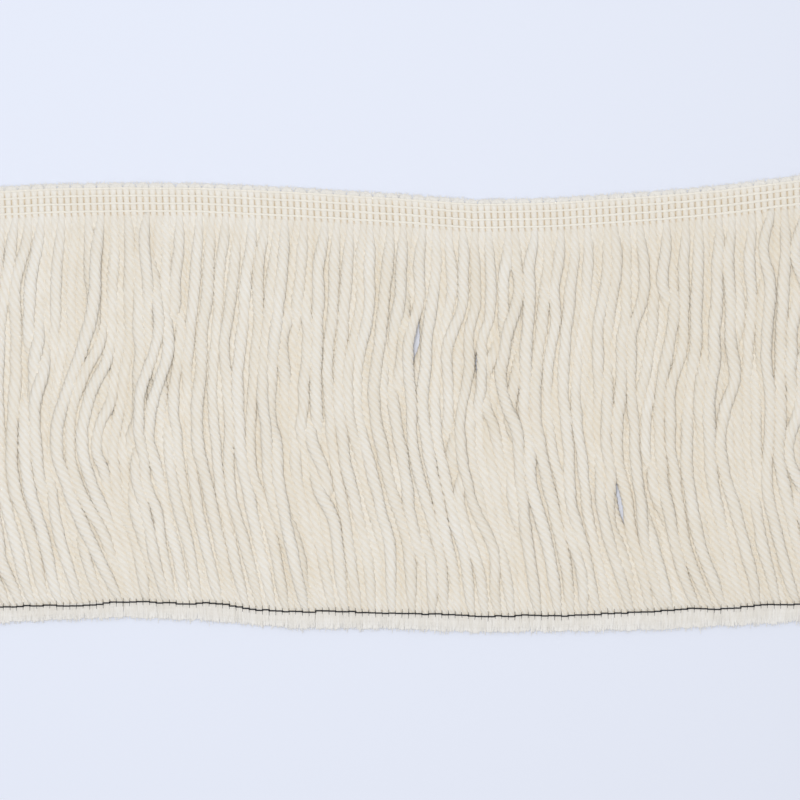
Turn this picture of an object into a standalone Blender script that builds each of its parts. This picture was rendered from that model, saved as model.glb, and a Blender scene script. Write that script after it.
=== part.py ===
# Chainette fringe trim: a narrow crochet-knit heading with one loose yarn strand hanging from
# every course, four chain-stitch lines across the heading, and a dark chain stitch that still
# holds the strands together just above their cut ends. A cut length, lying flat.
# X runs along the trim, Y up the strands to the heading's top edge, Z off the surface.
import math
import random

import bpy

MM = 0.001

# Courses: each is one pass of yarn through the heading, and it ends below in one strand
COURSES = 132
COURSE_PITCH = 1.529 * MM
HELD_PITCH = 1.545 * MM
HELD_SHIFT = 5.1 * MM

# Heading
HEADING_DEPTH = 7.2 * MM
RIDGE_HEIGHT = 2.0 * MM
SLOT_HEIGHT = 1.55 * MM
LOOP_DIP = 0.55 * MM

# Strands: three-sided, flat underneath, in a lower and an upper row
ROOT_WIDTH = 1.2 * MM
STRAND_WIDTH = 2.4 * MM
STRAND_HEIGHT = 1.9 * MM
ROW_RISE = 2.2 * MM
STRAND_GAP = 0.4 * MM
NARROWEST_STRAND = 1.0 * MM
LOWER_ROW_LAG = 0.12
WANDER = 0.35 * MM
WANDER_SEED = 11

# Chain-stitch lines of the heading, from its top edge down, and the dark holding stitch
CHAIN_DEPTHS = (1.05 * MM, 2.75 * MM, 4.55 * MM, 6.35 * MM)
CHAIN_WIDTH = 0.65 * MM
CHAIN_HEIGHT = 0.45 * MM
HOLDING_WIDTH = 0.35 * MM
HOLDING_HEIGHT = 0.35 * MM
HOLDING_WAVER = 0.22 * MM
PIECE_GAP = 0.3 * MM

# How the trim lies: Y of its top edge, of the holding stitch and of the cut ends along X, in mm
LIE = [
    {"x": -101.0, "top": 50.0, "held": -48.1, "cut": -51.2},
    {"x": -81.5, "top": 51.0, "held": -47.1, "cut": -50.3},
    {"x": -64.0, "top": 51.3, "held": -46.1, "cut": -49.6},
    {"x": -46.6, "top": 51.2, "held": -46.7, "cut": -50.3},
    {"x": -23.3, "top": 50.1, "held": -48.6, "cut": -52.2},
    {"x": 0.0, "top": 48.7, "held": -48.8, "cut": -52.3},
    {"x": 17.0, "top": 47.4, "held": -49.5, "cut": -53.1},
    {"x": 35.0, "top": 47.7, "held": -49.4, "cut": -52.9},
    {"x": 58.0, "top": 49.2, "held": -48.7, "cut": -52.5},
    {"x": 75.0, "top": 50.7, "held": -47.6, "cut": -51.6},
    {"x": 93.0, "top": 53.0, "held": -46.6, "cut": -50.6},
    {"x": 102.0, "top": 53.1, "held": -46.7, "cut": -50.6},
]

# How the strands sway: sideways shift in mm at each level of the drop, by a strand's root X
SWAY_LEVELS = {"s20": 0.20, "s33": 0.33, "s46": 0.46, "s59": 0.59, "s72": 0.72, "s85": 0.85}
SWAY = [
    {"x": -102.0, "s20": -1.6, "s33": -2.9, "s46": -3.4, "s59": -3.2, "s72": -1.6, "s85": 0.9},
    {"x": -89.0, "s20": -2.4, "s33": -3.8, "s46": -4.0, "s59": -3.9, "s72": -2.6, "s85": 0.0},
    {"x": -84.6, "s20": -2.2, "s33": -2.9, "s46": -3.2, "s59": -3.0, "s72": -1.8, "s85": 0.9},
    {"x": -78.0, "s20": -0.9, "s33": -1.6, "s46": -4.3, "s59": -5.0, "s72": -2.9, "s85": 0.1},
    {"x": -70.6, "s20": 0.5, "s33": -0.6, "s46": -5.6, "s59": -6.8, "s72": -4.3, "s85": -0.4},
    {"x": -65.0, "s20": 0.6, "s33": 0.4, "s46": -3.4, "s59": -5.3, "s72": -3.2, "s85": 0.1},
    {"x": -58.0, "s20": -1.4, "s33": -2.2, "s46": -3.6, "s59": -3.6, "s72": -1.5, "s85": 1.2},
    {"x": -46.0, "s20": -1.2, "s33": -2.6, "s46": -3.2, "s59": -2.7, "s72": -0.9, "s85": 1.9},
    {"x": -30.0, "s20": -1.4, "s33": -2.6, "s46": -3.2, "s59": -3.1, "s72": -0.9, "s85": 2.4},
    {"x": -24.0, "s20": -1.5, "s33": -3.4, "s46": -4.6, "s59": -3.7, "s72": -2.0, "s85": 1.3},
    {"x": -20.6, "s20": -0.8, "s33": -2.1, "s46": -2.3, "s59": -1.3, "s72": 0.6, "s85": 2.5},
    {"x": -7.0, "s20": -1.2, "s33": -2.6, "s46": -3.0, "s59": -1.1, "s72": 1.4, "s85": 4.4},
    {"x": 3.0, "s20": -0.9, "s33": -2.7, "s46": -2.4, "s59": -1.4, "s72": 1.2, "s85": 4.2},
    {"x": 18.6, "s20": -0.5, "s33": -2.3, "s46": -3.6, "s59": -3.2, "s72": -0.4, "s85": 2.9},
    {"x": 23.3, "s20": 0.1, "s33": -0.8, "s46": -0.7, "s59": -0.3, "s72": 1.5, "s85": 4.1},
    {"x": 33.0, "s20": -0.7, "s33": -2.4, "s46": -3.3, "s59": -1.6, "s72": 1.6, "s85": 3.9},
    {"x": 41.0, "s20": -0.5, "s33": -1.9, "s46": -2.9, "s59": -1.7, "s72": -0.4, "s85": 2.4},
    {"x": 54.0, "s20": 0.2, "s33": -1.2, "s46": -2.2, "s59": -2.2, "s72": -0.6, "s85": 2.3},
    {"x": 66.4, "s20": 0.3, "s33": -1.2, "s46": -2.8, "s59": -3.1, "s72": -2.3, "s85": 0.4},
    {"x": 73.0, "s20": 0.0, "s33": -0.9, "s46": -2.7, "s59": -3.3, "s72": -1.8, "s85": 1.4},
    {"x": 79.5, "s20": 0.3, "s33": -0.5, "s46": -0.9, "s59": -1.0, "s72": 0.6, "s85": 3.0},
    {"x": 90.0, "s20": 0.0, "s33": -1.0, "s46": -1.8, "s59": -1.8, "s72": 0.2, "s85": 3.2},
    {"x": 102.0, "s20": 0.0, "s33": -1.0, "s46": -1.8, "s59": -1.6, "s72": 0.6, "s85": 3.8},
]

# Sections of a strand down its drop: how wide it is from 0, pressed between its neighbours,
# to 1, full, and how far an upper strand has risen over the lower row
SECTIONS = [
    {"drop": 0.00, "full": 0.0, "rise": 0.0},
    {"drop": 0.05, "full": 0.0, "rise": 1.0},
    {"drop": 0.11, "full": 1.0, "rise": 1.0},
    {"drop": 0.22, "full": 1.0, "rise": 1.0},
    {"drop": 0.33, "full": 1.0, "rise": 1.0},
    {"drop": 0.44, "full": 1.0, "rise": 1.0},
    {"drop": 0.55, "full": 1.0, "rise": 1.0},
    {"drop": 0.66, "full": 1.0, "rise": 1.0},
    {"drop": 0.77, "full": 1.0, "rise": 1.0},
    {"drop": 0.88, "full": 1.0, "rise": 1.0},
    {"drop": 0.95, "full": 0.0, "rise": 1.0},
    {"drop": 1.00, "full": 0.0, "rise": 0.0},
]

# Finishes: colour, roughness
COTTON = {"color": (0.80, 0.75, 0.65), "roughness": 0.95}
CHAIN_COTTON = {"color": (0.86, 0.80, 0.70), "roughness": 0.90}
DARK_THREAD = {"color": (0.01, 0.01, 0.012), "roughness": 0.70}


def remove_all_objects():
    for obj in list(bpy.data.objects):
        bpy.data.objects.remove(obj)


def read_row(table, column, x):
    """The value of one column of a table at x, in mm, straight between its rows."""
    if x <= table[0]["x"]:
        return table[0][column]
    for left, right in zip(table, table[1:]):
        if x <= right["x"]:
            part = (x - left["x"]) / (right["x"] - left["x"])
            return left[column] + part * (right[column] - left[column])
    return table[-1][column]


def lie(column, x):
    return read_row(LIE, column, x / MM) * MM


def smooth_through(knots, at):
    """A smooth curve through (position, value) knots, read at one position."""
    last = len(knots) - 1
    index = 0
    while index < last - 1 and at > knots[index + 1][0]:
        index += 1
    before = knots[max(index - 1, 0)]
    start = knots[index]
    end = knots[index + 1]
    after = knots[min(index + 2, last)]
    span = end[0] - start[0]
    part = (at - start[0]) / span
    slope_in = (end[1] - before[1]) / (end[0] - before[0]) * span
    slope_out = (after[1] - start[1]) / (after[0] - start[0]) * span
    square = part * part
    cube = square * part
    return ((2 * cube - 3 * square + 1) * start[1] + (cube - 2 * square + part) * slope_in
            + (3 * square - 2 * cube) * end[1] + (cube - square) * slope_out)


def course_x(course):
    return (course + 0.5 - COURSES / 2) * COURSE_PITCH


def boundary_x(boundary):
    return (boundary - COURSES / 2) * COURSE_PITCH


def held_x(course):
    return (course + 0.5 - COURSES / 2) * HELD_PITCH + HELD_SHIFT


def heading_foot(x):
    return lie("top", x) - HEADING_DEPTH


def sway_knots(course):
    """Sideways shift of a strand at the heading, at each level of the table and at the stitch.
    The lower row lies straighter than the upper one between its two ends."""
    root = course_x(course)
    lag = 0.0 if course % 2 else LOWER_ROW_LAG
    knots = [(0.0, 0.0)]
    for column, level in SWAY_LEVELS.items():
        straighter = 1.0 - lag * math.sin(math.pi * level) ** 2
        knots.append((level, read_row(SWAY, column, root / MM) * MM * straighter))
    knots.append((1.0, held_x(course) - root))
    return knots


def strand_centres():
    """Centre X of every strand at every section, with each strand's own slow wander."""
    chance = random.Random(WANDER_SEED)
    centres = []
    for course in range(COURSES):
        knots = sway_knots(course)
        waves = chance.uniform(1.0, 2.2)
        phase = chance.uniform(0.0, math.tau)
        row = []
        for section in SECTIONS:
            drop = section["drop"]
            wander = WANDER * section["full"] * math.sin(waves * drop * math.tau + phase)
            row.append(course_x(course) + smooth_through(knots, drop) + wander)
        centres.append(row)
    return centres


def strand_width(centres, course, index):
    """Full width, or as much as the next strands of the same row leave free."""
    full = SECTIONS[index]["full"]
    room = STRAND_WIDTH
    for neighbour in (course - 2, course + 2):
        if 0 <= neighbour < COURSES:
            apart = abs(centres[neighbour][index] - centres[course][index])
            room = min(room, apart - STRAND_GAP)
    room = max(room, NARROWEST_STRAND)
    return ROOT_WIDTH + full * (room - ROOT_WIDTH)


def add_object(name, points, faces, finish):
    mesh = bpy.data.meshes.new(name)
    mesh.from_pydata(points, [], faces)
    mesh.validate()
    obj = bpy.data.objects.new(name, mesh)
    bpy.context.scene.collection.objects.link(obj)
    material = bpy.data.materials.new(name)
    material.use_nodes = True
    shader = material.node_tree.nodes["Principled BSDF"]
    shader.inputs["Base Color"].default_value = (*finish["color"], 1.0)
    shader.inputs["Roughness"].default_value = finish["roughness"]
    shader.inputs["Metallic"].default_value = 0.0
    obj.data.materials.append(material)


def centre_on_origin():
    """Place every piece so that the origin is under the middle of the trim's own box."""
    pieces = list(bpy.context.scene.objects)
    for axis in (0, 1):
        along = [point.co[axis] for piece in pieces for point in piece.data.vertices]
        middle = (min(along) + max(along)) / 2
        for piece in pieces:
            piece.location[axis] = -middle


def add_strand(points, faces, centres, course):
    """One three-sided strand. Its first three points are its root in the heading's foot."""
    upper = course % 2
    root = course_x(course)
    foot = heading_foot(root)
    hem = held_x(course)
    first = len(points)
    stations = []
    for index, section in enumerate(SECTIONS):
        y = foot + section["drop"] * (lie("held", hem) - foot)
        width = strand_width(centres, course, index)
        base = upper * section["rise"] * ROW_RISE
        stations.append((centres[course][index], y, width, base))
    stations.append((hem, lie("cut", hem), ROOT_WIDTH, 0.0))
    for index, (x, y, width, base) in enumerate(stations):
        height = RIDGE_HEIGHT if index == 0 else STRAND_HEIGHT
        points.append((x - width / 2, y, base))
        points.append((x + width / 2, y, base))
        points.append((x, y, base + height))
    for index in range(len(stations) - 1):
        left = first + 3 * index
        right = left + 1
        crest = left + 2
        faces.append((left, right, right + 3, left + 3))
        faces.append((right, crest, crest + 3, right + 3))
        faces.append((crest, left, left + 3, crest + 3))
    tip = first + 3 * (len(stations) - 1)
    faces.append((tip, tip + 1, tip + 2))
    return first


def build_fringe():
    """The heading with a ridge over each course, its looped top edge, and all its strands."""
    points = []
    faces = []
    centres = strand_centres()
    roots = [add_strand(points, faces, centres, course) for course in range(COURSES)]

    slots = []
    top_feet = []
    top_slots = []
    for boundary in range(COURSES + 1):
        x = boundary_x(boundary)
        dip = LOOP_DIP if boundary % 2 == 0 else 0.0
        slots.append(len(points))
        points.append((x, heading_foot(x), SLOT_HEIGHT))
        top_feet.append(len(points))
        points.append((x, lie("top", x) - dip, 0.0))
        top_slots.append(len(points))
        points.append((x, lie("top", x) - dip, SLOT_HEIGHT))
    top_ridges = []
    for course in range(COURSES):
        x = course_x(course)
        top_ridges.append(len(points))
        points.append((x, lie("top", x), RIDGE_HEIGHT))
    corner_left = len(points)
    points.append((boundary_x(0), heading_foot(boundary_x(0)), 0.0))
    corner_right = len(points)
    points.append((boundary_x(COURSES), heading_foot(boundary_x(COURSES)), 0.0))

    for course in range(COURSES):
        left = roots[course]
        right = left + 1
        crest = left + 2
        before = roots[course - 1] + 1 if course else corner_left
        faces.append((slots[course], crest, top_ridges[course], top_slots[course]))
        faces.append((crest, slots[course + 1], top_slots[course + 1], top_ridges[course]))
        faces.append((left, top_feet[course], top_feet[course + 1], right))
        faces.append((before, top_feet[course], left))
        faces.append((before, left, slots[course]))
        faces.append((left, crest, slots[course]))
        after = roots[course + 1] if course + 1 < COURSES else corner_right
        faces.append((right, slots[course + 1], crest))
        if after == corner_right:
            faces.append((right, corner_right, slots[course + 1]))
            faces.append((right, top_feet[course + 1], corner_right))
        faces.append((top_feet[course + 1], top_feet[course], top_slots[course],
                      top_slots[course + 1]))
        faces.append((top_slots[course + 1], top_slots[course], top_ridges[course]))
    faces.append((top_feet[0], corner_left, slots[0], top_slots[0]))
    faces.append((corner_right, top_feet[COURSES], top_slots[COURSES], slots[COURSES]))
    add_object("fringe", points, faces, COTTON)


def add_bar(name, path, width, height, finish):
    """A thin four-sided bar along a path of (x, y, z) points on its underside."""
    points = []
    faces = []
    for x, y, z in path:
        points.append((x, y - width / 2, z))
        points.append((x, y + width / 2, z))
        points.append((x, y + width / 3, z + height))
        points.append((x, y - width / 3, z + height))
    for index in range(len(path) - 1):
        here = 4 * index
        for side in range(4):
            this = here + side
            other = here + (side + 1) % 4
            faces.append((this, other, other + 4, this + 4))
    last = 4 * (len(path) - 1)
    faces.append((3, 2, 1, 0))
    faces.append((last, last + 1, last + 2, last + 3))
    add_object(name, points, faces, finish)


def build_chain_lines():
    """The four lines of chain stitch that lock the courses side by side."""
    height = RIDGE_HEIGHT + PIECE_GAP
    for number, depth in enumerate(CHAIN_DEPTHS, start=1):
        path = []
        for boundary in range(0, COURSES + 1, 2):
            x = boundary_x(boundary)
            path.append((x, lie("top", x) - depth, height))
        add_bar(f"heading_chain_{number}", path, CHAIN_WIDTH, CHAIN_HEIGHT, CHAIN_COTTON)


def build_holding_stitch():
    """The dark chain stitch over the strands, just above their cut ends."""
    chance = random.Random(WANDER_SEED)
    height = STRAND_HEIGHT + PIECE_GAP
    path = []
    for course in range(COURSES):
        x = held_x(course)
        waver = chance.uniform(-HOLDING_WAVER, HOLDING_WAVER)
        path.append((x, lie("held", x) + waver, height))
    add_bar("holding_stitch", path, HOLDING_WIDTH, HOLDING_HEIGHT, DARK_THREAD)


remove_all_objects()
build_fringe()
build_chain_lines()
build_holding_stitch()
centre_on_origin()
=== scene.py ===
import math

import bpy
import numpy as np
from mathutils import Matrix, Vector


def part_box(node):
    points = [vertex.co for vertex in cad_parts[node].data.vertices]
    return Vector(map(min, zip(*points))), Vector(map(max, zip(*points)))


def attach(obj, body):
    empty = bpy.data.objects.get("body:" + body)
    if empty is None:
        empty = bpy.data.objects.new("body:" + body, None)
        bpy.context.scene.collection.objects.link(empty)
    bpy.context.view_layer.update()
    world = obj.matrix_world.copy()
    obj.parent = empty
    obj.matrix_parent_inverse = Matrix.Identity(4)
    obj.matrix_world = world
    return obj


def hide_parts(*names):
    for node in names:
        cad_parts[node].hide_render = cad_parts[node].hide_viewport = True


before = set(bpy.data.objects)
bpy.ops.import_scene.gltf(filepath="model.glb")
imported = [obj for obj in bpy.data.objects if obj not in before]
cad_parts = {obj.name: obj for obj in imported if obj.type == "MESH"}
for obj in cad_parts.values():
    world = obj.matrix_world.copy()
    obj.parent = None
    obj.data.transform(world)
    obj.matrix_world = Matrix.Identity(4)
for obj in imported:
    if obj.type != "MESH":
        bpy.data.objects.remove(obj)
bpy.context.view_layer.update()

MM = 0.001

# The trim, as the solids have it
COURSES = 132
COURSE_PITCH = 1.529
HELD_PITCH = 1.545
HELD_SHIFT = 5.1
HEADING_DEPTH = 7.2
CHAIN_DEPTHS = (1.05, 2.75, 4.55, 6.35)

LIE = [
    {"x": -101.0, "top": 50.0, "held": -48.1, "cut": -51.2},
    {"x": -81.5, "top": 51.0, "held": -47.1, "cut": -50.3},
    {"x": -64.0, "top": 51.3, "held": -46.1, "cut": -49.6},
    {"x": -46.6, "top": 51.2, "held": -46.7, "cut": -50.3},
    {"x": -23.3, "top": 50.1, "held": -48.6, "cut": -52.2},
    {"x": 0.0, "top": 48.7, "held": -48.8, "cut": -52.3},
    {"x": 17.0, "top": 47.4, "held": -49.5, "cut": -53.1},
    {"x": 35.0, "top": 47.7, "held": -49.4, "cut": -52.9},
    {"x": 58.0, "top": 49.2, "held": -48.7, "cut": -52.5},
    {"x": 75.0, "top": 50.7, "held": -47.6, "cut": -51.6},
    {"x": 93.0, "top": 53.0, "held": -46.6, "cut": -50.6},
    {"x": 102.0, "top": 53.1, "held": -46.7, "cut": -50.6},
]

SWAY_LEVELS = {"s20": 0.20, "s33": 0.33, "s46": 0.46, "s59": 0.59, "s72": 0.72, "s85": 0.85}
SWAY = [
    {"x": -102.0, "s20": -1.6, "s33": -2.9, "s46": -3.4, "s59": -3.2, "s72": -1.6, "s85": 0.9},
    {"x": -89.0, "s20": -2.4, "s33": -3.8, "s46": -4.0, "s59": -3.9, "s72": -2.6, "s85": 0.0},
    {"x": -84.6, "s20": -2.2, "s33": -2.9, "s46": -3.2, "s59": -3.0, "s72": -1.8, "s85": 0.9},
    {"x": -78.0, "s20": -1.2, "s33": -2.2, "s46": -4.4, "s59": -5.0, "s72": -2.9, "s85": 0.1},
    {"x": -75.5, "s20": -0.6, "s33": -1.2, "s46": -2.4, "s59": -2.8, "s72": -1.8, "s85": 0.2},
    {"x": -73.2, "s20": 0.0, "s33": 0.4, "s46": 0.6, "s59": 0.4, "s72": -0.4, "s85": 0.4},
    {"x": -71.1, "s20": -0.8, "s33": 0.4, "s46": 1.4, "s59": 1.6, "s72": 0.8, "s85": 0.8},
    {"x": -69.6, "s20": -1.4, "s33": -3.4, "s46": -8.2, "s59": -10.5, "s72": -7.4, "s85": -2.1},
    {"x": -68.0, "s20": -0.8, "s33": -1.9, "s46": -7.1, "s59": -9.0, "s72": -5.9, "s85": -0.6},
    {"x": -66.5, "s20": -0.4, "s33": -1.1, "s46": -5.4, "s59": -7.6, "s72": -4.7, "s85": 0.6},
    {"x": -65.0, "s20": 0.3, "s33": 0.1, "s46": -2.4, "s59": -5.8, "s72": -3.3, "s85": 2.0},
    {"x": -63.4, "s20": 0.9, "s33": 1.0, "s46": -0.3, "s59": -3.3, "s72": -2.3, "s85": 2.3},
    {"x": -61.9, "s20": 0.6, "s33": 0.8, "s46": 0.8, "s59": -1.4, "s72": -1.5, "s85": 2.4},
    {"x": -58.0, "s20": 0.2, "s33": -0.6, "s46": -2.0, "s59": -2.4, "s72": -1.0, "s85": 1.2},
    {"x": -46.0, "s20": -1.2, "s33": -2.6, "s46": -3.2, "s59": -2.7, "s72": -0.9, "s85": 1.9},
    {"x": -30.0, "s20": -1.4, "s33": -2.6, "s46": -3.2, "s59": -3.1, "s72": -0.9, "s85": 2.4},
    {"x": -24.0, "s20": -1.5, "s33": -3.4, "s46": -4.6, "s59": -3.7, "s72": -2.0, "s85": 1.3},
    {"x": -20.6, "s20": -0.8, "s33": -2.1, "s46": -2.3, "s59": -1.3, "s72": 0.6, "s85": 2.5},
    {"x": -7.0, "s20": -1.2, "s33": -2.6, "s46": -3.0, "s59": -1.1, "s72": 1.4, "s85": 4.4},
    {"x": 3.0, "s20": -0.9, "s33": -2.7, "s46": -2.4, "s59": -1.4, "s72": 1.2, "s85": 4.2},
    {"x": 18.6, "s20": -0.5, "s33": -2.3, "s46": -3.6, "s59": -3.2, "s72": -0.4, "s85": 2.9},
    {"x": 23.3, "s20": 0.1, "s33": -0.8, "s46": -0.7, "s59": -0.3, "s72": 1.5, "s85": 4.1},
    {"x": 33.0, "s20": -0.7, "s33": -2.4, "s46": -3.3, "s59": -1.6, "s72": 1.6, "s85": 3.9},
    {"x": 41.0, "s20": -0.5, "s33": -1.9, "s46": -2.9, "s59": -1.7, "s72": -0.4, "s85": 2.4},
    {"x": 54.0, "s20": 0.2, "s33": -1.2, "s46": -2.2, "s59": -2.2, "s72": -0.6, "s85": 2.3},
    {"x": 66.4, "s20": 0.3, "s33": -1.2, "s46": -2.8, "s59": -3.1, "s72": -2.3, "s85": 0.4},
    {"x": 73.0, "s20": 0.0, "s33": -0.9, "s46": -2.7, "s59": -3.3, "s72": -1.8, "s85": 1.4},
    {"x": 79.5, "s20": 0.3, "s33": -0.5, "s46": -0.9, "s59": -1.0, "s72": 0.6, "s85": 3.0},
    {"x": 90.0, "s20": 0.0, "s33": -1.0, "s46": -1.8, "s59": -1.8, "s72": 0.2, "s85": 3.2},
    {"x": 102.0, "s20": 0.0, "s33": -1.0, "s46": -1.8, "s59": -1.6, "s72": 0.6, "s85": 3.8},
]

# How far strands lie over their neighbours or, below 0, under them. Steady strands keep to
# the sway above and the others wander from it.
OVER = [
    {"x": -88.0, "over": 0.0, "steady": 0.0},
    {"x": -83.0, "over": -0.3, "steady": 0.3},
    {"x": -70.8, "over": -0.5, "steady": 0.5},
    {"x": -70.4, "over": 1.8, "steady": 1.0},
    {"x": -64.6, "over": 1.8, "steady": 1.0},
    {"x": -63.4, "over": 0.9, "steady": 0.9},
    {"x": -62.8, "over": 0.0, "steady": 0.5},
    {"x": -59.0, "over": 0.0, "steady": 0.0},
]

# Small partings. Where down is 1 every strand moves aside and the surface below shows, and
# where it is 0 only the upper strands do, and the ones beneath show with painted shade.
PARTINGS = [
    {"x": -86.7, "y": 5.5, "length": 15.0, "wide": 0.7, "down": 0},
    {"x": -63.0, "y": -15.6, "length": 9.0, "wide": 0.7, "down": 0},
    {"x": 10.5, "y": 27.5, "length": 10.0, "wide": 0.7, "down": 0},
    {"x": 3.5, "y": 14.7, "length": 17.0, "wide": 2.3, "down": 1},
    {"x": 51.5, "y": -23.1, "length": 17.0, "wide": 2.8, "down": 1},
    {"x": -62.2, "y": -1.6, "length": 12.0, "wide": 0.7, "down": 0},
    {"x": -32.6, "y": -12.1, "length": 16.0, "wide": 0.8, "down": 0},
    {"x": -26.3, "y": -9.2, "length": 26.0, "wide": 0.8, "down": 0},
    {"x": 16.3, "y": 26.8, "length": 14.0, "wide": 0.5, "down": 0},
    {"x": 19.3, "y": 25.9, "length": 20.0, "wide": 0.9, "down": 0},
    {"x": 22.6, "y": 16.1, "length": 17.0, "wide": 0.8, "down": 0},
    {"x": 17.5, "y": 9.0, "length": 18.0, "wide": 0.5, "down": 0},
    {"x": 21.0, "y": -7.5, "length": 20.0, "wide": 0.7, "down": 0},
    {"x": 64.5, "y": -1.6, "length": 24.0, "wide": 0.8, "down": 0},
]

# Yarn: plied with an S twist, pressed where the threads hold it and full between them. Over
# one ply its outline goes through PLY_POINTS, from the groove on. Settled strands touch at
# TOUCH times their radius and hide the surface at COVER times it. ROUND below 1 is a boxier
# outline, and the two below it are how dark its sides are painted, as shade. A covered strand
# is painted darker by COVER_SHADE, as shade, and wider by COVER_SPREAD.
PLIES = 5
PLY_POINTS = (0.8, 1.0, 1.0)
PLY_UNEVEN = 0.035
TWIST_LENGTH = 9.4
FREE_RADIUS = 1.4
PRESSED_RADIUS = 0.8
FLATTENED = 0.7
TOUCH = 0.84
COVER = 0.74
HELD_HEIGHT = 0.85
FOOT_HEIGHT = 0.98
HEADING_ROUND = 0.68
STRAND_ROUND = 0.86
# Painted shade on the sides of the heading's yarns and of the strands
HEADING_SIDE_SHADE = 1.1
STRAND_SIDE_SHADE = 0.1
COVER_SHADE = 0.4
COVER_SPREAD = 0.25

# Settling of the strands: each feels fewer than REACH neighbours to either side. How far they
# wander from the sway, how much their rank changes down the drop and how many lie in the upper
# layer, how much of a sideways push is left where one lies over the other, how they even out,
# how far the upper one is lifted, and how steeply they may rise from where they are held
SETTLE_ROWS = 72
SETTLE_STEPS = 420
REACH = 10
WANDER = 1.0
STRAY_SHARE = 0.25
STRAY_WANDER = 1.4
ROOT_WANDER = 1.2
RANK_CHANGE = 0.45
UPPER_SHARE = 0.53
SIDEWAYS = 0.3
EVENING = 0.02
RANK_LIFT = 0.6
STEEPEST = 48.0
STRAND_SEED = 23

# A yarn in the heading, and the rings along it there, down its strand and past the stitch
HEADING_WIDE = 0.83
HEADING_HIGH = 0.84
HEADING_LEAN = 0.05
LOOP_RISE = 0.8
LOOP_RADIUS = 0.62
HEADING_RINGS = 22
DROP_RINGS = 128
END_RINGS = 3

# Chain stitches: how high their thread lies, half a loop's length and width, half the thread's
# thickness, how far it dips between two yarns, and its sides. Each line lies a little below its
# depth, and the holding stitch has a knot between every two strands
CHAIN_LOOP = {"height": 1.75, "long": 0.98, "wide": 0.12, "thread": 0.15, "dip": 0.24, "sides": 6}
HOLDING_LOOP = {"height": 1.74, "long": 0.9, "wide": 0.04, "thread": 0.15, "dip": 0.14, "sides": 5}
LOOP_POINTS = 14
CHAIN_BELOW = 0.28
HOLDING_BELOW = 0.08
KNOT_HEIGHT = 1.74
KNOT_REACH = 0.85

# Cut ends: locks side by side, and finer fibres between and past them. Half their thickness,
# how far down in the yarn they start, how much further they reach, and their sides
CUT_ENDS = [
    {"count": 18, "thick": 0.165, "low": 0.3, "longer": 0.0, "sides": 6},
    {"count": 15, "thick": 0.06, "low": 0.4, "longer": 0.1, "sides": 4},
]

# Stray fibres along the looped top edge
FUZZ_FIBRES = 4200
FUZZ_SHORTEST = 0.3
FUZZ_LONGEST = 0.9
FUZZ_THICK = 0.065

# Cotton: its colours in full light and in shade, how dark the painted shade in the grooves
# between its plies is, and how far it is shaded as if it faced the sky. The loose cotton of
# the cut ends and the fuzz is a paler copy, painted lighter as light.
COTTON = {
    "cotton_yarn": {"light": (0.91, 0.886, 0.831), "shade": (0.842, 0.786, 0.682),
                    "groove": 0.26, "soft": 0.48},
    "lit_loose_cotton": {"light": (0.955, 0.933, 0.893), "shade": (0.84, 0.8, 0.73),
                     "groove": 0.0, "soft": 0.9},
    "chain_thread": {"light": (0.98, 0.937, 0.845), "shade": (0.945, 0.895, 0.795),
                     "groove": 0.0, "soft": 0.8},
}
# The colour that the painted shade in the grooves and on the sides is multiplied by
GROOVE_AND_SIDE_SHADE_COLOUR = (0.765, 0.65, 0.48)

# Floor and light, in metres and watts
FLOOR_SIZE = 3.0
FLOOR_BELOW = 0.00002
LAMP_PLACE = (-0.05, 0.035, 1.0)
LAMP_SIZE = 0.25
LAMP_POWER = 5.83
SKY_COLOUR = (0.955, 0.968, 1.0)
SKY_STRENGTH = 0.4

# Camera and the photo's frame
PHOTO_WIDTH = 186.4
VIEW_Y = 0.7
CAMERA_HEIGHT = 900.0
SENSOR = 36.0


def column(table, name, x):
    return np.interp(x, [row["x"] for row in table], [row[name] for row in table])


def lie(name, x):
    return column(LIE, name, x)


def course_x(course):
    return (course + 0.5 - COURSES / 2) * COURSE_PITCH


def boundary_x(boundary):
    return (boundary - COURSES / 2) * COURSE_PITCH


def held_x(course):
    return (course + 0.5 - COURSES / 2) * HELD_PITCH + HELD_SHIFT


def trim_offset():
    """Where the trim's own X 0 and Y 0 lie in the frame, in mm."""
    low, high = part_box("heading_chain_1")
    fringe_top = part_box("fringe")[1][1] / MM
    return (low[0] + high[0]) / 2 / MM, fringe_top - float(lie("top", boundary_x(COURSES)))


OFFSET_X, OFFSET_Y = trim_offset()


def smooth_rows(knots, values, at):
    """Smooth curves through values (strands, knots), read at positions along them."""
    span = np.diff(knots)
    index = np.clip(np.searchsorted(knots, at, side="right") - 1, 0, len(knots) - 2)
    before = np.maximum(index - 1, 0)
    after = np.minimum(index + 2, len(knots) - 1)
    part = (at - knots[index]) / span[index]
    slope_in = (values[:, index + 1] - values[:, before]) / (knots[index + 1] - knots[before])
    slope_out = (values[:, after] - values[:, index]) / (knots[after] - knots[index])
    slope_in = slope_in * span[index]
    slope_out = slope_out * span[index]
    square = part * part
    cube = square * part
    return ((2 * cube - 3 * square + 1) * values[:, index] + (cube - 2 * square + part) * slope_in
            + (3 * square - 2 * cube) * values[:, index + 1] + (cube - square) * slope_out)


def slow_noise(chance, count, at, waves):
    """Smooth random curves from about -1 to 1, one for each strand."""
    total = np.zeros((count, len(at)))
    for share, times in ((0.7, waves), (0.3, 2.3 * waves)):
        rate = chance.uniform(0.6, 1.4, (count, 1)) * times
        phase = chance.uniform(0, math.tau, (count, 1))
        total += share * np.sin(rate * at[None, :] * math.tau + phase)
    return total


def strand_radius(drop):
    """Half a strand's width down its drop: pressed at the heading and at the holding stitch."""
    pressed = np.exp(-(drop / 0.04) ** 1.2) + np.exp(-((1.0 - drop) / 0.035) ** 1.2)
    return FREE_RADIUS - (FREE_RADIUS - PRESSED_RADIUS) * np.minimum(pressed, 1.0)


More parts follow.
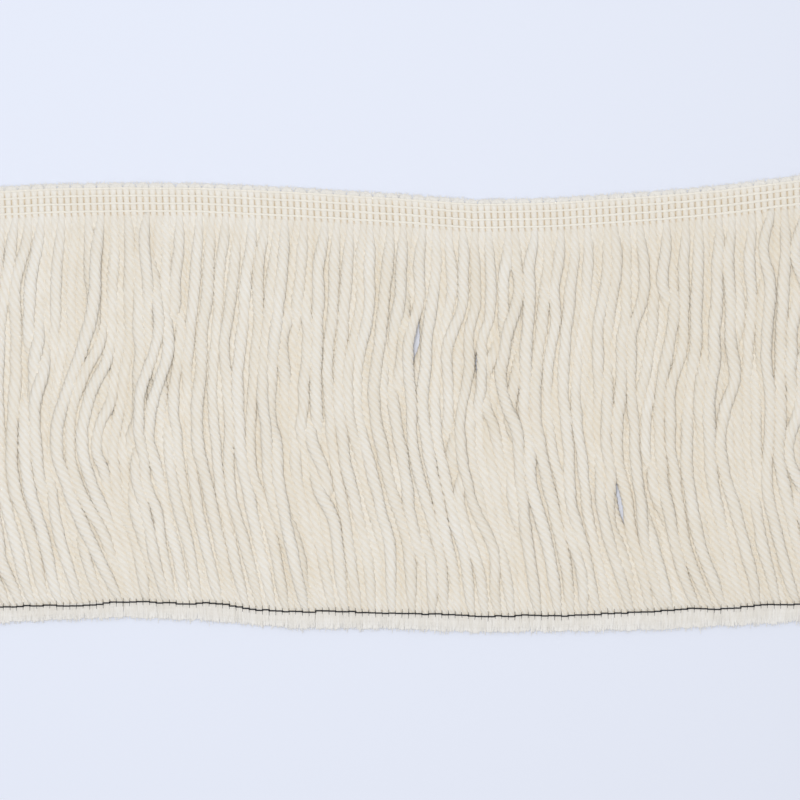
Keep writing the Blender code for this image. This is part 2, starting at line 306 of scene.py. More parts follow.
def strand_goals(drop, chance):
    """Centre X that each strand would take alone: its sway and a wander of its own."""
    strands = np.arange(COURSES)
    roots = course_x(strands)
    knots = np.array([0.0, *SWAY_LEVELS.values(), 1.0])
    values = [np.zeros(COURSES)]
    values += [column(SWAY, name, roots) for name in SWAY_LEVELS]
    values += [held_x(strands) - roots]
    goal = roots[:, None] + smooth_rows(knots, np.stack(values, axis=1), drop)
    belly = (1.0 - np.exp(-drop / 0.07)) * (1.0 - np.exp(-(1.0 - drop) / 0.07))
    amount = WANDER * chance.uniform(0.4, 1.4, (COURSES, 1))
    stray = chance.random((COURSES, 1)) < STRAY_SHARE
    amount = amount + STRAY_WANDER * stray
    amount = amount * (1.0 - column(OVER, "steady", roots))[:, None]
    wander = amount * slow_noise(chance, COURSES, drop, 1.6)
    wander += ROOT_WANDER * slow_noise(chance, COURSES, drop, 3.0) * np.exp(-drop / 0.25)
    return goal + wander * belly


def strand_ranks(drop, chance):
    """Which strands lie in the upper layer, about half of them, and how high in it. Down its
    drop a strand may come up over a neighbour or go under it."""
    turn = (np.arange(COURSES) + chance.uniform(-0.5, 0.5, COURSES)) * UPPER_SHARE
    upper = np.floor(turn + UPPER_SHARE) - np.floor(turn)
    over = column(OVER, "over", course_x(np.arange(COURSES)))
    rank = (upper + chance.uniform(0.0, 0.4, COURSES) + over)[:, None]
    return rank + RANK_CHANGE * slow_noise(chance, COURSES, drop, 1.2)


def eased(moves):
    """Moves (strands, rows) smoothed along each strand."""
    for repeat in range(4):
        moves[:, 1:-1] = 0.25 * (moves[:, :-2] + 2 * moves[:, 1:-1] + moves[:, 2:])
    return moves


def push_apart(x, z, radius, rank):
    """Moves strands that overlap away from each other, the one of higher rank upward, and
    evens out how close they lie."""
    move_x = np.zeros_like(x)
    move_z = np.zeros_like(z)
    for gap in range(1, REACH):
        across = x[gap:] - x[:-gap]
        over = z[gap:] - z[:-gap]
        above = rank[gap:] - rank[:-gap]
        over = over + RANK_LIFT * np.tanh(above / 0.2) * np.exp(-(over / 0.9) ** 2)
        apart = np.hypot(across, over) + 1e-6
        push = 0.4 * np.clip(radius[gap:] + radius[:-gap] - apart, 0.0, 0.5) / apart
        beside = np.exp(-(above / 0.5) ** 2)
        spread = push * across * (SIDEWAYS + (1.0 - SIDEWAYS) * beside)
        spread += EVENING * beside * across * np.exp(-(across / 2.8) ** 2)
        move_x[gap:] += spread
        move_x[:-gap] -= spread
        move_z[gap:] += push * over
        move_z[:-gap] -= push * over
    x += eased(move_x)
    z += eased(move_z)


def close_gaps(x, radius):
    """Draws strands together where the surface below would show between them."""
    order = np.argsort(x, axis=0)
    near = np.take_along_axis(x, order, axis=0)
    reach = np.take_along_axis(radius, order, axis=0) / TOUCH * COVER
    bare = np.clip(near[1:] - near[:-1] - reach[1:] - reach[:-1], 0.0, 1.0)
    moves = np.zeros_like(x)
    moves[:-1] += 0.25 * bare
    moves[1:] -= 0.25 * bare
    sorted_back = np.empty_like(x)
    np.put_along_axis(sorted_back, order, moves, axis=0)
    x += eased(sorted_back)


def parting_opening(parting, y):
    """How far open a parting is at the heights y, from 0 to 1."""
    along = (y - parting["y"]) / (0.5 * parting["length"])
    return np.clip(1.0 - along ** 2, 0.0, 1.0) ** 1.5


def part_strands(x, y, radius, rank):
    """Opens the small partings. Each strand keeps to the side that most of it is on."""
    for parting in PARTINGS:
        open_here = parting_opening(parting, y)
        open_here = open_here * np.clip(2.5 * (rank - 0.5), parting["down"], 1.0)
        beside = x - parting["x"]
        side = np.sign(np.sum(open_here * beside, axis=1, keepdims=True) + 1e-9)
        short = np.clip(0.5 * parting["wide"] + radius / TOUCH - side * beside, 0.0, 0.4)
        x += eased(open_here * short * side)


def settle_strands(drop, y):
    """Centre X and Z of every strand down its drop, and how full its yarn is: it starts on its
    own way and sinks until it lies on the surface or on its neighbours. Strands are round
    here and flattened after."""
    chance = np.random.default_rng(STRAND_SEED)
    goal = strand_goals(drop, chance)
    belly = np.sin(math.pi * drop) ** 0.7
    body = chance.uniform(0.88, 1.1, (COURSES, 1))
    radius = strand_radius(drop) * TOUCH * (1.0 + (body - 1.0) * belly)
    rank = strand_ranks(drop, chance)
    rest = (FOOT_HEIGHT + (HELD_HEIGHT - FOOT_HEIGHT) * drop) / FLATTENED
    steep = STEEPEST * np.minimum(drop, 1.0 - drop)
    x = goal.copy()
    z = rest + belly * (0.3 + 2.0 * np.clip(rank, -0.3, 1.8))
    for step in range(SETTLE_STEPS):
        z[:, 1:-1] -= 0.02
        for line, stiffness in ((x, 0.3), (z, 0.3)):
            bend = 0.5 * (line[:, :-2] + line[:, 2:]) - line[:, 1:-1]
            line[:, 1:-1] += stiffness * bend
        x += 0.06 * (goal - x)
        push_apart(x, z, radius, rank)
        close_gaps(x, radius)
        part_strands(x, y, radius, rank)
        z = np.clip(z, np.maximum(radius, rest - 0.5 * steep), rest + steep)
        x[:, 0] = goal[:, 0]
        x[:, -1] = goal[:, -1]
        z[:, 0] = rest[0]
        z[:, -1] = rest[-1]
    return x, z * FLATTENED, body


def strand_cover(x, z):
    """How far each strand lies below the ones beside it, from 0 to 1."""
    cover = np.zeros_like(x)
    for gap in range(1, REACH):
        near = np.exp(-((x[gap:] - x[:-gap]) / 2.1) ** 2)
        above = z[gap:] - z[:-gap]
        cover[:-gap] = np.maximum(cover[:-gap], near * np.clip(above / 1.5, 0.0, 1.0))
        cover[gap:] = np.maximum(cover[gap:], near * np.clip(-above / 1.5, 0.0, 1.0))
    return eased(cover)


class Pieces:
    """Collects swept tubes, then makes one mesh object from them."""

    def __init__(self):
        self.points = []
        self.faces = []
        self.coords = []
        self.tints = []
        self.plied = []
        self.side_shades = []
        self.count = 0

    def sweep(self, centre, wide, high, profile, turn, tint, plied=None, edge=None,
              closed=False, round_by=1.0):
        """Tubes along centre (tubes, rings, 3), of half width wide and half height high, whose
        profile radii are turned by turn. The profile may differ from ring to ring. Each ring
        has tint (tubes, rings), plied, how deep its grooves are and how much painted shade lies
        in them, and edge, how much painted shade darkens its sides. Below 1, round_by makes the
        outline boxier."""
        tubes, rings, _ = centre.shape
        sides = profile.shape[-1]
        if closed:
            along = np.roll(centre, -1, axis=1) - np.roll(centre, 1, axis=1)
        else:
            along = np.gradient(centre, axis=1)
        along /= np.linalg.norm(along, axis=2, keepdims=True)
        across = np.cross(along, (0.0, 0.0, 1.0))
        across /= np.linalg.norm(across, axis=2, keepdims=True)
        up = np.cross(across, along)
        angle = np.arange(sides) * math.tau / sides + turn[:, :, None]
        out_x = wide[:, :, None] * profile * np.sign(np.cos(angle))
        out_x *= np.abs(np.cos(angle)) ** round_by
        out_z = high[:, :, None] * profile * np.sign(np.sin(angle))
        out_z *= np.abs(np.sin(angle)) ** round_by
        ring = (centre[:, :, None, :] + out_x[..., None] * across[:, :, None, :]
                + out_z[..., None] * up[:, :, None, :])
        step = np.linalg.norm(np.diff(centre, axis=1), axis=2)
        length = np.concatenate([np.zeros((tubes, 1)), np.cumsum(step, axis=1)], axis=1)

        tube, row, side = np.meshgrid(np.arange(tubes), np.arange(rings if closed else rings - 1),
                                      np.arange(sides), indexing="ij")
        next_row = (row + 1) % rings
        next_side = (side + 1) % sides
        base = self.count + tube * rings * sides
        quads = np.stack([base + row * sides + side, base + next_row * sides + side,
                          base + next_row * sides + next_side, base + row * sides + next_side],
                         axis=-1).reshape(-1, 4)
        u = np.stack([side, side, side + 1, side + 1], axis=-1).reshape(-1, 4) / sides
        v_here = length[tube, row]
        v_next = length[tube, np.minimum(row + 1, rings - 1)]
        v = np.stack([v_here, v_next, v_next, v_here], axis=-1).reshape(-1, 4)
        self.faces.extend(quads.tolist())
        self.coords.append(np.stack([u, v * 0.1], axis=-1).reshape(-1, 2))
        if not closed:
            for number in range(tubes):
                first = self.count + number * rings * sides
                last = first + (rings - 1) * sides
                self.faces.append(list(range(first, first + sides)))
                self.faces.append(list(range(last + sides - 1, last - 1, -1)))
                self.coords.append(np.zeros((2 * sides, 2)))
        self.points.append(ring.reshape(-1, 3))
        self.tints.append(np.repeat(tint.reshape(-1), sides))
        plied = 0 * tint if plied is None else plied
        self.plied.append(np.repeat(plied.reshape(-1), sides))
        edge = 0 * tint if edge is None else edge
        self.side_shades.append((edge[:, :, None] * np.abs(np.cos(angle)) ** 3).reshape(-1))
        self.count += tubes * rings * sides

    def make(self, name, material, slot, *nodes, smooth=True):
        """One mesh object of all the tubes, which takes the place of the solids named."""
        points = np.concatenate(self.points)
        points = (points + (OFFSET_X, OFFSET_Y, 0.0)) * MM
        mesh = bpy.data.meshes.new(name)
        mesh.from_pydata(points.tolist(), [], self.faces)
        layer = mesh.uv_layers.new(name="yarn")
        layer.data.foreach_set("uv", np.concatenate(self.coords).astype(np.float32).ravel())
        for name_of, values in (("tint", self.tints), ("plied", self.plied),
                                ("edge", self.side_shades)):
            attribute = mesh.attributes.new(name_of, "FLOAT", "POINT")
            attribute.data.foreach_set("value", np.concatenate(values).astype(np.float32))
        mesh.polygons.foreach_set("use_smooth", np.full(len(mesh.polygons), smooth))
        mesh.update()
        mesh.materials.append(material)
        piece = bpy.data.objects.new(name, mesh)
        bpy.context.scene.collection.objects.link(piece)
        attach(piece, "root")
        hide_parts(*nodes)


def new_material(name):
    material = bpy.data.materials.new(name)
    material.use_nodes = True
    nodes = material.node_tree.nodes
    return material, nodes, material.node_tree.links, nodes["Principled BSDF"]


def cotton_material(name):
    """Soft cotton: streaks along the fibres, painted shade in the grooves between the plies and
    on the sides, a slow drift of colour and a fine bump. Light spreads inside loose cotton, so
    it is shaded as if it faced the sky more than it does."""
    look = COTTON[name]
    material, nodes, links, shader = new_material(name)
    shader.inputs["Roughness"].default_value = 0.95
    shader.inputs["Specular IOR Level"].default_value = 0.1
    shader.inputs["Sheen Weight"].default_value = 0.1
    shader.inputs["Sheen Roughness"].default_value = 0.6

    yarn = nodes.new("ShaderNodeUVMap")
    yarn.uv_map = "yarn"
    tint = nodes.new("ShaderNodeAttribute")
    tint.attribute_name = "tint"
    stretch = nodes.new("ShaderNodeMapping")
    stretch.inputs["Scale"].default_value = (34.0, 11.0, 1.0)
    streaks = nodes.new("ShaderNodeTexNoise")
    streaks.inputs["Scale"].default_value = 1.0
    streaks.inputs["Detail"].default_value = 4.0
    streaks.inputs["Roughness"].default_value = 0.65
    links.new(yarn.outputs["UV"], stretch.inputs["Vector"])
    links.new(stretch.outputs["Vector"], streaks.inputs["Vector"])

    place = nodes.new("ShaderNodeTexCoord")
    drift = nodes.new("ShaderNodeTexNoise")
    drift.inputs["Scale"].default_value = 180.0
    drift.inputs["Detail"].default_value = 2.0
    links.new(place.outputs["Object"], drift.inputs["Vector"])

    def calculate(operation, first, second, third=0.0):
        node = nodes.new("ShaderNodeMath")
        node.operation = operation
        for socket, value in zip(node.inputs, (first, second, third)):
            if isinstance(value, float):
                socket.default_value = value
            else:
                links.new(value, socket)
        return node.outputs["Value"]

    mixed = calculate("MULTIPLY_ADD", streaks.outputs["Fac"], 1.3, tint.outputs["Fac"])
    mixed = calculate("MULTIPLY_ADD", drift.outputs["Fac"], 0.6, mixed)
    mixed = calculate("SUBTRACT", mixed, 0.4)
    ramp = nodes.new("ShaderNodeValToRGB")
    ramp.color_ramp.elements[0].position = 0.25
    ramp.color_ramp.elements[0].color = (*look["shade"], 1.0)
    ramp.color_ramp.elements[1].position = 0.95
    ramp.color_ramp.elements[1].color = (*look["light"], 1.0)
    links.new(mixed, ramp.inputs["Fac"])

    # Painted shade: darker in the grooves between the plies, as deep as groove and plied say, and
    # on the sides, as edge says
    parts = nodes.new("ShaderNodeSeparateXYZ")
    links.new(yarn.outputs["UV"], parts.inputs["Vector"])
    wave = calculate("COSINE", calculate("MULTIPLY", parts.outputs["X"], PLIES * math.tau), 0.0)
    depth = calculate("POWER", calculate("MULTIPLY_ADD", wave, 0.5, 0.5), 2.0)
    plied = nodes.new("ShaderNodeAttribute")
    plied.attribute_name = "plied"
    depth = calculate("MULTIPLY", depth, look["groove"])
    edge = nodes.new("ShaderNodeAttribute")
    edge.attribute_name = "edge"
    depth = calculate("MULTIPLY_ADD", depth, plied.outputs["Fac"], edge.outputs["Fac"])
    dark = nodes.new("ShaderNodeMix")
    dark.data_type = "RGBA"
    dark.blend_type = "MULTIPLY"
    dark.inputs["B"].default_value = (*GROOVE_AND_SIDE_SHADE_COLOUR, 1.0)
    links.new(depth, dark.inputs["Factor"])
    links.new(ramp.outputs["Color"], dark.inputs["A"])
    links.new(dark.outputs["Result"], shader.inputs["Base Color"])

    surface = nodes.new("ShaderNodeNewGeometry")
    lifted = nodes.new("ShaderNodeVectorMath")
    lifted.operation = "ADD"
    lifted.inputs[1].default_value = (0.0, 0.0, look["soft"])
    facing = nodes.new("ShaderNodeVectorMath")
    facing.operation = "NORMALIZE"
    links.new(surface.outputs["Normal"], lifted.inputs[0])
    links.new(lifted.outputs["Vector"], facing.inputs[0])
    bump = nodes.new("ShaderNodeBump")
    links.new(facing.outputs["Vector"], bump.inputs["Normal"])
    bump.inputs["Strength"].default_value = 0.6
    bump.inputs["Distance"].default_value = 0.00015
    links.new(streaks.outputs["Fac"], bump.inputs["Height"])
    links.new(bump.outputs["Normal"], shader.inputs["Normal"])
    return material


def dark_thread_material():
    """Black sewing thread: nearly matt, with a faint fibre streak."""
    material, nodes, links, shader = new_material("holding_thread")
    shader.inputs["Roughness"].default_value = 0.6
    shader.inputs["Specular IOR Level"].default_value = 0.3
    shader.inputs["Sheen Weight"].default_value = 0.1
    yarn = nodes.new("ShaderNodeUVMap")
    yarn.uv_map = "yarn"
    streaks = nodes.new("ShaderNodeTexNoise")
    streaks.inputs["Scale"].default_value = 40.0
    links.new(yarn.outputs["UV"], streaks.inputs["Vector"])
    ramp = nodes.new("ShaderNodeValToRGB")
    ramp.color_ramp.elements[0].color = (0.006, 0.006, 0.009, 1.0)
    ramp.color_ramp.elements[1].color = (0.02, 0.02, 0.024, 1.0)
    links.new(streaks.outputs["Fac"], ramp.inputs["Fac"])
    links.new(ramp.outputs["Color"], shader.inputs["Base Color"])
    return material


def heading_path(course, places):
    """Centre and half sizes of a course from the loop at the top edge, 0, to the foot, 1. Each
    pair of courses is one loop, and the chain lines press the yarn flat where they cross."""
    x_foot = course_x(course)
    top = lie("top", x_foot)
    toward = np.where(course % 2 == 0, 1.0, -1.0)
    depth = LOOP_RADIUS + (HEADING_DEPTH - LOOP_RADIUS) * places[None, :]
    turn = np.clip((depth - LOOP_RADIUS) / LOOP_RISE, 0.0, 1.0)
    closing = 1.0 - np.sqrt(1.0 - (1.0 - turn) ** 2)
    x = x_foot[:, None] + toward[:, None] * closing * COURSE_PITCH / 2
    x = x - HEADING_LEAN * (HEADING_DEPTH - depth)
    y = top[:, None] - depth
    pressed = sum(np.exp(-((depth - line) / 0.42) ** 2) for line in CHAIN_DEPTHS)
    pressed = np.clip(pressed, 0.0, 1.0)
    wide = HEADING_WIDE - 0.04 * pressed - 0.04 * (1.0 - turn) + 0 * x
    high = HEADING_HIGH - 0.06 * pressed - 0.32 * (1.0 - turn) ** 1.5 + 0 * x
    z = high + 0.05
    return x, y, z, wide, high


def strand_path(drops, foot, held, chance):
    """Centre, half sizes and cover of every strand from its foot to the holding stitch."""
    rows = np.linspace(0.0, 1.0, SETTLE_ROWS)
    settled_y = foot[:, None] + rows * (held - foot)[:, None]
    settled_x, settled_z, body = settle_strands(rows, settled_y)
    belly = np.sin(math.pi * drops)
    x = smooth_rows(rows, settled_x, drops)
    x += 0.09 * slow_noise(chance, COURSES, drops, 9.0) * belly
    y = foot[:, None] + drops * (held - foot)[:, None]
    z = smooth_rows(rows, settled_z, drops)
    cover = smooth_rows(rows, strand_cover(settled_x, settled_z), drops)

    wide = np.tile(strand_radius(drops), (COURSES, 1))
    thick = 1.0 + 0.06 * slow_noise(chance, COURSES, drops, 6.0)
    wide = wide * thick * (1.0 + (body - 1.0) * belly ** 0.7)
    high = wide * FLATTENED + 0.22 * np.exp(-(drops / 0.04) ** 2)
    spread = COVER_SPREAD * cover * belly ** 0.5
    for parting in PARTINGS:
        opening = parting_opening(parting, y)
        if parting["down"]:
            beside = np.exp(-((x - parting["x"]) / 4.0) ** 2)
            spread = spread * (1.0 - beside * opening ** 0.3)
        else:
            # The strands beneath a hollow are painted darker, as shade
            beside = np.exp(-((x - parting["x"]) / 1.2) ** 4)
            cover = cover + 0.8 * beside * opening
    wide = wide * (1.0 + spread)
    at_stitch = np.exp(-((1.0 - drops) / 0.006) ** 2)
    high = high * (1.0 - 0.28 * at_stitch)
    return x, y, z, wide, high, cover


def end_path(x_held, held, cut, chance):
    """Centre and half sizes of every strand's core past the holding stitch."""
    ends = np.linspace(0.0, 1.0, END_RINGS + 1)[1:]
    reach = 0.5 + 0.05 * chance.standard_normal((COURSES, 1))
    x = x_held + 0.15 * ends * chance.standard_normal((COURSES, 1))
    y = held[:, None] + ends * (cut - held)[:, None] * reach
    z = 0.8 - 0.3 * ends + 0 * x
    wide = 0.86 - 0.1 * ends + 0 * x
    high = 0.7 - 0.35 * ends + 0 * x
    return x, y, z, wide, high


def twist_plies(path, plied, chance):
    """How far each ring of the yarns is turned, and its profile with a groove between plies."""
    yarns = len(path)
    step = np.linalg.norm(np.diff(path, axis=1), axis=2)
    length = np.concatenate([np.zeros((yarns, 1)), np.cumsum(step, axis=1)], axis=1)
    turn = length * math.tau / TWIST_LENGTH * chance.uniform(0.94, 1.06, (yarns, 1))
    turn = turn + chance.uniform(0, math.tau, (yarns, 1))
    pull = chance.uniform(0.12, 0.3, (yarns, 1))
    turn = turn + 0.5 * np.sin(length * pull + chance.uniform(0, math.tau, (yarns, 1)))
    profile = 1.0 - plied[:, :, None] * (1.0 - np.array(PLY_POINTS * PLIES))
    ply = np.repeat(np.arange(PLIES), len(PLY_POINTS))
    phase = chance.uniform(0, math.tau, (yarns, PLIES))[:, ply]
    rate = chance.uniform(0.5, 1.1, (yarns, PLIES))[:, ply]
    lumps = np.sin(length[:, :, None] * rate[:, None, :] + phase[:, None, :])
    profile = profile * (1.0 + PLY_UNEVEN * plied[:, :, None] * lumps)
    return turn, profile


def pair_up(head, drop, end):
    """Rings of every course, joined to one yarn for each pair: up one course and down the
    next."""
    course = np.concatenate([head, drop, end], axis=1)
    return np.concatenate([course[0::2, ::-1], course[1::2, 1:]], axis=1)


def build_yarns(material):
    """Each pair of courses is one yarn: up one strand, round its loop and down the next."""
    courses = np.arange(COURSES)
    chance = np.random.default_rng(STRAND_SEED + 1)
    places = 0.5 - 0.5 * np.cos(np.linspace(0.0, math.pi, HEADING_RINGS))
    places = 0.35 * places + 0.65 * np.linspace(0.0, 1.0, HEADING_RINGS)
    drops = np.linspace(0.0, 1.0, DROP_RINGS + 1)[1:]
    foot = lie("top", course_x(courses)) - HEADING_DEPTH
    held = lie("held", held_x(courses))
    cut = lie("cut", held_x(courses))
    head_x, head_y, head_z, head_wide, head_high = heading_path(courses, places)
    *drop, cover = strand_path(drops, foot, held, chance)
    drop_x, drop_y, drop_z, drop_wide, drop_high = drop
    end_x, end_y, end_z, end_wide, end_high = end_path(drop_x[:, -1:], held, cut, chance)

    wide = pair_up(head_wide, drop_wide, end_wide)
    high = pair_up(head_high, drop_high, end_high)
    z = np.maximum(pair_up(head_z, drop_z, end_z), high + 0.02)
    path = np.stack([pair_up(head_x, drop_x, end_x), pair_up(head_y, drop_y, end_y), z], axis=2)

    flat_head = 0 * head_x
    flat_drop = 0 * drop_x
    flat_end = 0 * end_x
    near_foot = np.exp(-drops / 0.02)
    # Near the loops at the top edge the yarn is painted lighter, as light
    loop = np.exp(-(places / 0.12) ** 2)
    # Tone differs at random from strand to strand, and strands are painted darker toward the
    # right, as shade where the light falls off
    tone = chance.uniform(-0.12, 0.12, (COURSES, 1)) - 0.04 - 0.001 * course_x(courses)[:, None]
    # Covered strands are painted darker, as the shade of the strands over them
    tint = pair_up(tone + (flat_head + 0.22 + 0.5 * loop), tone + (0.1 - COVER_SHADE * cover),
                   tone + (flat_end + 0.2))
    plied = pair_up(flat_head + 0.3, flat_drop + 1.0 - 0.85 * near_foot, flat_end + 0.2)
    # Painted shade on the sides: on the heading's columns below the loops, and on the strands and
    # their ends
    edge = pair_up(flat_head + HEADING_SIDE_SHADE * np.clip(4 * places - 0.4, 0.0, 1.0),
                   flat_drop + STRAND_SIDE_SHADE, flat_end + STRAND_SIDE_SHADE)
    round_by = pair_up(flat_head + HEADING_ROUND,
                       flat_drop + STRAND_ROUND + (HEADING_ROUND - STRAND_ROUND) * near_foot,
                       flat_end + STRAND_ROUND)
    turn, profile = twist_plies(path, plied, chance)
    shares = np.array_split(np.arange(len(path)), 4)
    for number, share in enumerate(shares, start=1):
        pieces = Pieces()
        pieces.sweep(path[share], wide[share], high[share], profile[share], turn[share],
                     tint[share], plied[share], edge[share],
                     round_by=round_by[share][:, :, None])
        pieces.make(f"yarn_{number}", material, "cotton_yarn", "fringe")


def loop_row(pieces, x, y, loop, tint):
    """A row of chain stitches: one small closed loop of thread over each x, overlapping the
    next, high over the yarn and low between two yarns."""
    angle = np.arange(LOOP_POINTS) * math.tau / LOOP_POINTS
    centre = np.empty((len(x), LOOP_POINTS, 3))
    centre[:, :, 0] = x[:, None] - loop["long"] * np.cos(angle)
    pinch = np.abs(np.sin(angle)) ** 0.8 * np.sign(np.sin(angle))
    centre[:, :, 1] = y[:, None] + loop["wide"] * pinch
    centre[:, :, 2] = loop["height"] - loop["dip"] * np.cos(angle) ** 2 - 0.06 * np.cos(angle)
    wide = np.full((len(x), LOOP_POINTS), loop["thread"])
    pieces.sweep(centre, wide, wide, np.ones(loop["sides"]), 0 * wide, tint + 0 * wide,
                 closed=True)


def build_chain_lines(material):
    """The four lines of chain stitch that lock the courses side by side."""
    chance = np.random.default_rng(STRAND_SEED + 2)
    courses = np.arange(COURSES)
    for number, depth in enumerate(CHAIN_DEPTHS, start=1):
        x = course_x(courses) - HEADING_LEAN * (HEADING_DEPTH - depth)
        y = lie("top", x) - depth - CHAIN_BELOW + 0.03 * chance.standard_normal(COURSES)
        pieces = Pieces()
        loop_row(pieces, x, y, CHAIN_LOOP, 0.2)
        pieces.make(f"chain_line_{number}", material, "chain_thread", f"heading_chain_{number}")


def build_holding_stitch(material):
    """The dark chain stitch: thin loops over the strands, a knot in each slot between two
    strands, and the thread that dives there to either side."""
    chance = np.random.default_rng(STRAND_SEED + 3)
    x = held_x(np.arange(COURSES))
    waver = np.convolve(chance.standard_normal(COURSES + 6), np.ones(7) / 7, mode="valid") * 0.5
    waver = waver + 0.06 * chance.standard_normal(COURSES)
    y = lie("held", x) + waver - HOLDING_BELOW
    pieces = Pieces()
    loop_row(pieces, x, y, HOLDING_LOOP, 0.0)
    slots = COURSES - 1
    slot_x = x[:-1] + HELD_PITCH / 2
    slot_y = (y[:-1] + y[1:]) / 2
    along = np.linspace(-1.0, 1.0, 9)
    centre = np.empty((slots, len(along), 3))
    centre[:, :, 0] = slot_x[:, None] + 0.05 * along * chance.standard_normal((slots, 1))
    reach = KNOT_REACH + 0.15 * chance.standard_normal((slots, 1))
    centre[:, :, 1] = slot_y[:, None] + along * reach
    centre[:, :, 2] = KNOT_HEIGHT - 0.22 * along ** 2
    wide = 0.042 + 0.12 * np.exp(-(along / 0.2) ** 2) + 0 * centre[:, :, 0]
    pieces.sweep(centre, wide, wide, np.ones(5), 0 * wide, 0 * wide)
    pieces.make("holding_stitch_thread", material, "holding_thread", "holding_stitch")


def build_cut_ends(material):
    """The cut ends: soft locks side by side below the holding stitch, and finer fibres
    between and past them."""
    chance = np.random.default_rng(STRAND_SEED + 4)
    along = np.linspace(0.0, 1.0, 4)
    pieces = Pieces()
    for locks in CUT_ENDS:
        courses = np.repeat(np.arange(COURSES), locks["count"])
        count = len(courses)
        root_x = held_x(courses) + chance.uniform(-0.74, 0.74, count)
        spread = 0.3 * chance.standard_normal(count)
        held = lie("held", root_x)
        cut = lie("cut", root_x)
        uneven = 0.03 * np.sin(1.9 * root_x) + 0.03 * np.sin(0.73 * root_x + 1.0)
        reach = 1.04 + 0.5 * locks["longer"] + uneven
        reach = reach + (0.04 + 0.7 * locks["longer"]) * chance.standard_normal(count)
        root_z = 1.56 - locks["low"] * chance.random(count)
        sink = 0.3 + 0.6 * chance.random(count)
        centre = np.empty((count, len(along), 3))
        centre[:, :, 0] = root_x[:, None] + spread[:, None] * along ** 2
        centre[:, :, 1] = held[:, None] + 0.1 + along * ((cut - held) * reach - 0.1)[:, None]
        centre[:, :, 2] = root_z[:, None] + (sink - root_z)[:, None] * along ** 2
        wide = 1.0 - 0.4 * along ** 4
        wide = locks["thick"] * wide * chance.uniform(0.75, 1.25, (count, 1))
        # Tone differs at random, and the tips are painted lighter, as light
        tint = chance.uniform(-0.35, 0.0, (count, 1)) + 0.6 * along ** 2 + 0 * wide
        pieces.sweep(centre, 1.25 * wide, 0.45 * wide, np.ones(locks["sides"]), 0 * wide, tint)
    pieces.make("cut_ends", material, "cotton_yarn", "fringe", smooth=False)


def stray_fibres(chance, x, y, z, bearing, length):
    """Centre lines and half widths of short curled fibres that start at x, y, z."""
    along = np.linspace(0.0, 1.0, 3)
    curl = chance.uniform(-0.9, 0.9, len(x))
    direction = bearing[:, None] + curl[:, None] * along
    centre = np.empty((len(x), len(along), 3))
    centre[:, :, 0] = x[:, None] + length[:, None] * along * np.sin(direction)
    centre[:, :, 1] = y[:, None] + length[:, None] * along * np.cos(direction)
    centre[:, :, 2] = z[:, None] + 0.15 * along
    wide = np.full((len(x), len(along)), FUZZ_THICK) * (1.0 - 0.6 * along)
    return centre, wide


def build_fuzz(material):
    """Fine stray fibres along the looped top edge."""
    chance = np.random.default_rng(STRAND_SEED + 5)
    x = chance.uniform(boundary_x(1), boundary_x(COURSES - 1), FUZZ_FIBRES)
    y = lie("top", x) - chance.uniform(0.25, 0.9, FUZZ_FIBRES)
    z = chance.uniform(0.7, 1.3, FUZZ_FIBRES)
    bearing = chance.uniform(-1.2, 1.2, FUZZ_FIBRES)
    length = chance.uniform(FUZZ_SHORTEST, FUZZ_LONGEST, FUZZ_FIBRES)
    centre, wide = stray_fibres(chance, x, y, z, bearing, length)
    pieces = Pieces()
    pieces.sweep(centre, wide, 0.2 * wide, np.ones(4), 0 * wide, 0.3 + 0 * wide)
    pieces.make("edge_fuzz", material, "cotton_yarn", "fringe", smooth=False)


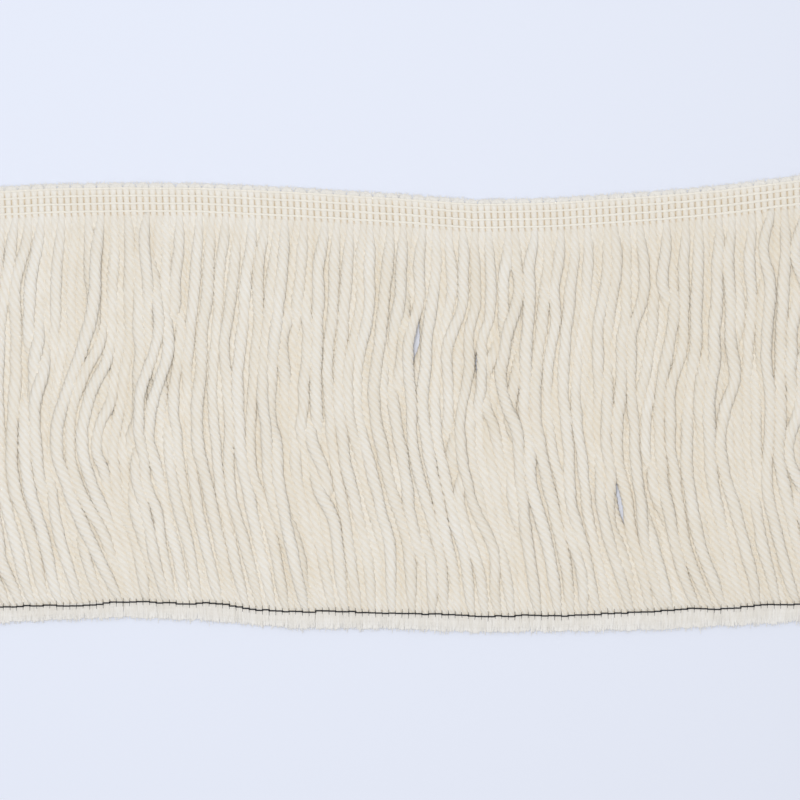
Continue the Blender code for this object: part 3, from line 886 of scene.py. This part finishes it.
def build_stage():
    """A plain pale floor, painted lighter and a little bluer toward the top left as the light
    falls off, under soft light from above.
    """
    bpy.ops.mesh.primitive_plane_add(size=FLOOR_SIZE, location=(0, 0, -FLOOR_BELOW))
    floor = bpy.context.object
    floor.name = "floor"
    material, nodes, links, shader = new_material("floor")
    shader.inputs["Roughness"].default_value = 0.9
    shader.inputs["Specular IOR Level"].default_value = 0.1
    place = nodes.new("ShaderNodeTexCoord")
    turned = nodes.new("ShaderNodeMapping")
    turned.inputs["Location"].default_value = (0.5, 0.0, 0.0)
    turned.inputs["Rotation"].default_value = (0.0, 0.0, math.radians(45.0))
    turned.inputs["Scale"].default_value = (3.6, 3.6, 1.0)
    # Painted light: the floor is lighter toward the top left
    painted_light_falloff = nodes.new("ShaderNodeTexGradient")
    ramp = nodes.new("ShaderNodeValToRGB")
    ramp.color_ramp.elements[0].color = (0.84, 0.882, 0.995, 1.0)
    ramp.color_ramp.elements[1].color = (0.805, 0.838, 0.935, 1.0)
    links.new(place.outputs["Object"], turned.inputs["Vector"])
    links.new(turned.outputs["Vector"], painted_light_falloff.inputs["Vector"])
    links.new(painted_light_falloff.outputs["Color"], ramp.inputs["Fac"])
    links.new(ramp.outputs["Color"], shader.inputs["Base Color"])
    floor.data.materials.append(material)

    world = bpy.data.worlds.new("studio")
    world.use_nodes = True
    background = world.node_tree.nodes["Background"]
    background.inputs["Color"].default_value = (*SKY_COLOUR, 1.0)
    background.inputs["Strength"].default_value = SKY_STRENGTH
    bpy.context.scene.world = world

    lamp = bpy.data.lights.new("overhead", "AREA")
    lamp.shape = "SQUARE"
    lamp.size = LAMP_SIZE
    lamp.energy = LAMP_POWER
    lamp_object = bpy.data.objects.new("overhead", lamp)
    bpy.context.scene.collection.objects.link(lamp_object)
    lamp_object.location = LAMP_PLACE
    aim = -lamp_object.location
    lamp_object.rotation_euler = aim.to_track_quat("-Z", "Y").to_euler()


def build_camera():
    """Straight above the trim, framed as the photo is."""
    data = bpy.data.cameras.new("camera")
    data.sensor_width = SENSOR
    data.sensor_fit = "HORIZONTAL"
    data.lens = SENSOR * CAMERA_HEIGHT / PHOTO_WIDTH
    camera = bpy.data.objects.new("camera", data)
    camera.location = (OFFSET_X * MM, (VIEW_Y + OFFSET_Y) * MM, CAMERA_HEIGHT * MM)
    bpy.context.scene.collection.objects.link(camera)
    bpy.context.scene.camera = camera
    bpy.context.scene.view_settings.view_transform = "Standard"
    bpy.context.scene.cycles.diffuse_bounces = 10


cotton = cotton_material("cotton_yarn")
# The cut ends and the fuzz get a paler copy of the cotton, painted lighter as light
lit_loose_cotton = cotton_material("lit_loose_cotton")
chain_cotton = cotton_material("chain_thread")
build_camera()
build_stage()
build_yarns(cotton)
build_chain_lines(chain_cotton)
build_holding_stitch(dark_thread_material())
build_cut_ends(lit_loose_cotton)
build_fuzz(lit_loose_cotton)
